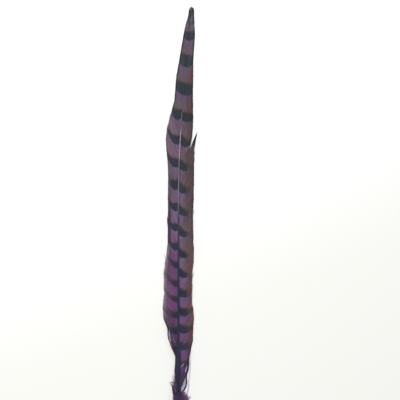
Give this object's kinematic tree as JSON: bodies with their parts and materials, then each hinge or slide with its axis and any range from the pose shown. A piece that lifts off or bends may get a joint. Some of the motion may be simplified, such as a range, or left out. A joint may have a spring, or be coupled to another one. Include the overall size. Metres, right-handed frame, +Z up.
{
  "type": "pheasant tail feather",
  "caption": "Long slender barred tail feather: a tapering quill and shaft, narrow vanes that bend sideways at the tip, and a downy tuft at the foot.",
  "frame": {"origin": "on the flat underside of the shaft, half way along the feather, where it rests on a surface", "axes": "+Y along the shaft towards the tip, +X towards the vane with the lock that stands out, +Z up out of the feather's upper face"},
  "size_m": [0.0294, 0.35, 0.0051],
  "materials": {
    "feather": "dull dyed barbs, mauve and brown with dark teal-black bars, slight silky sheen"
  },
  "bodies": {
    "root": {"feather": "feather"}
  },
  "joints": []
}
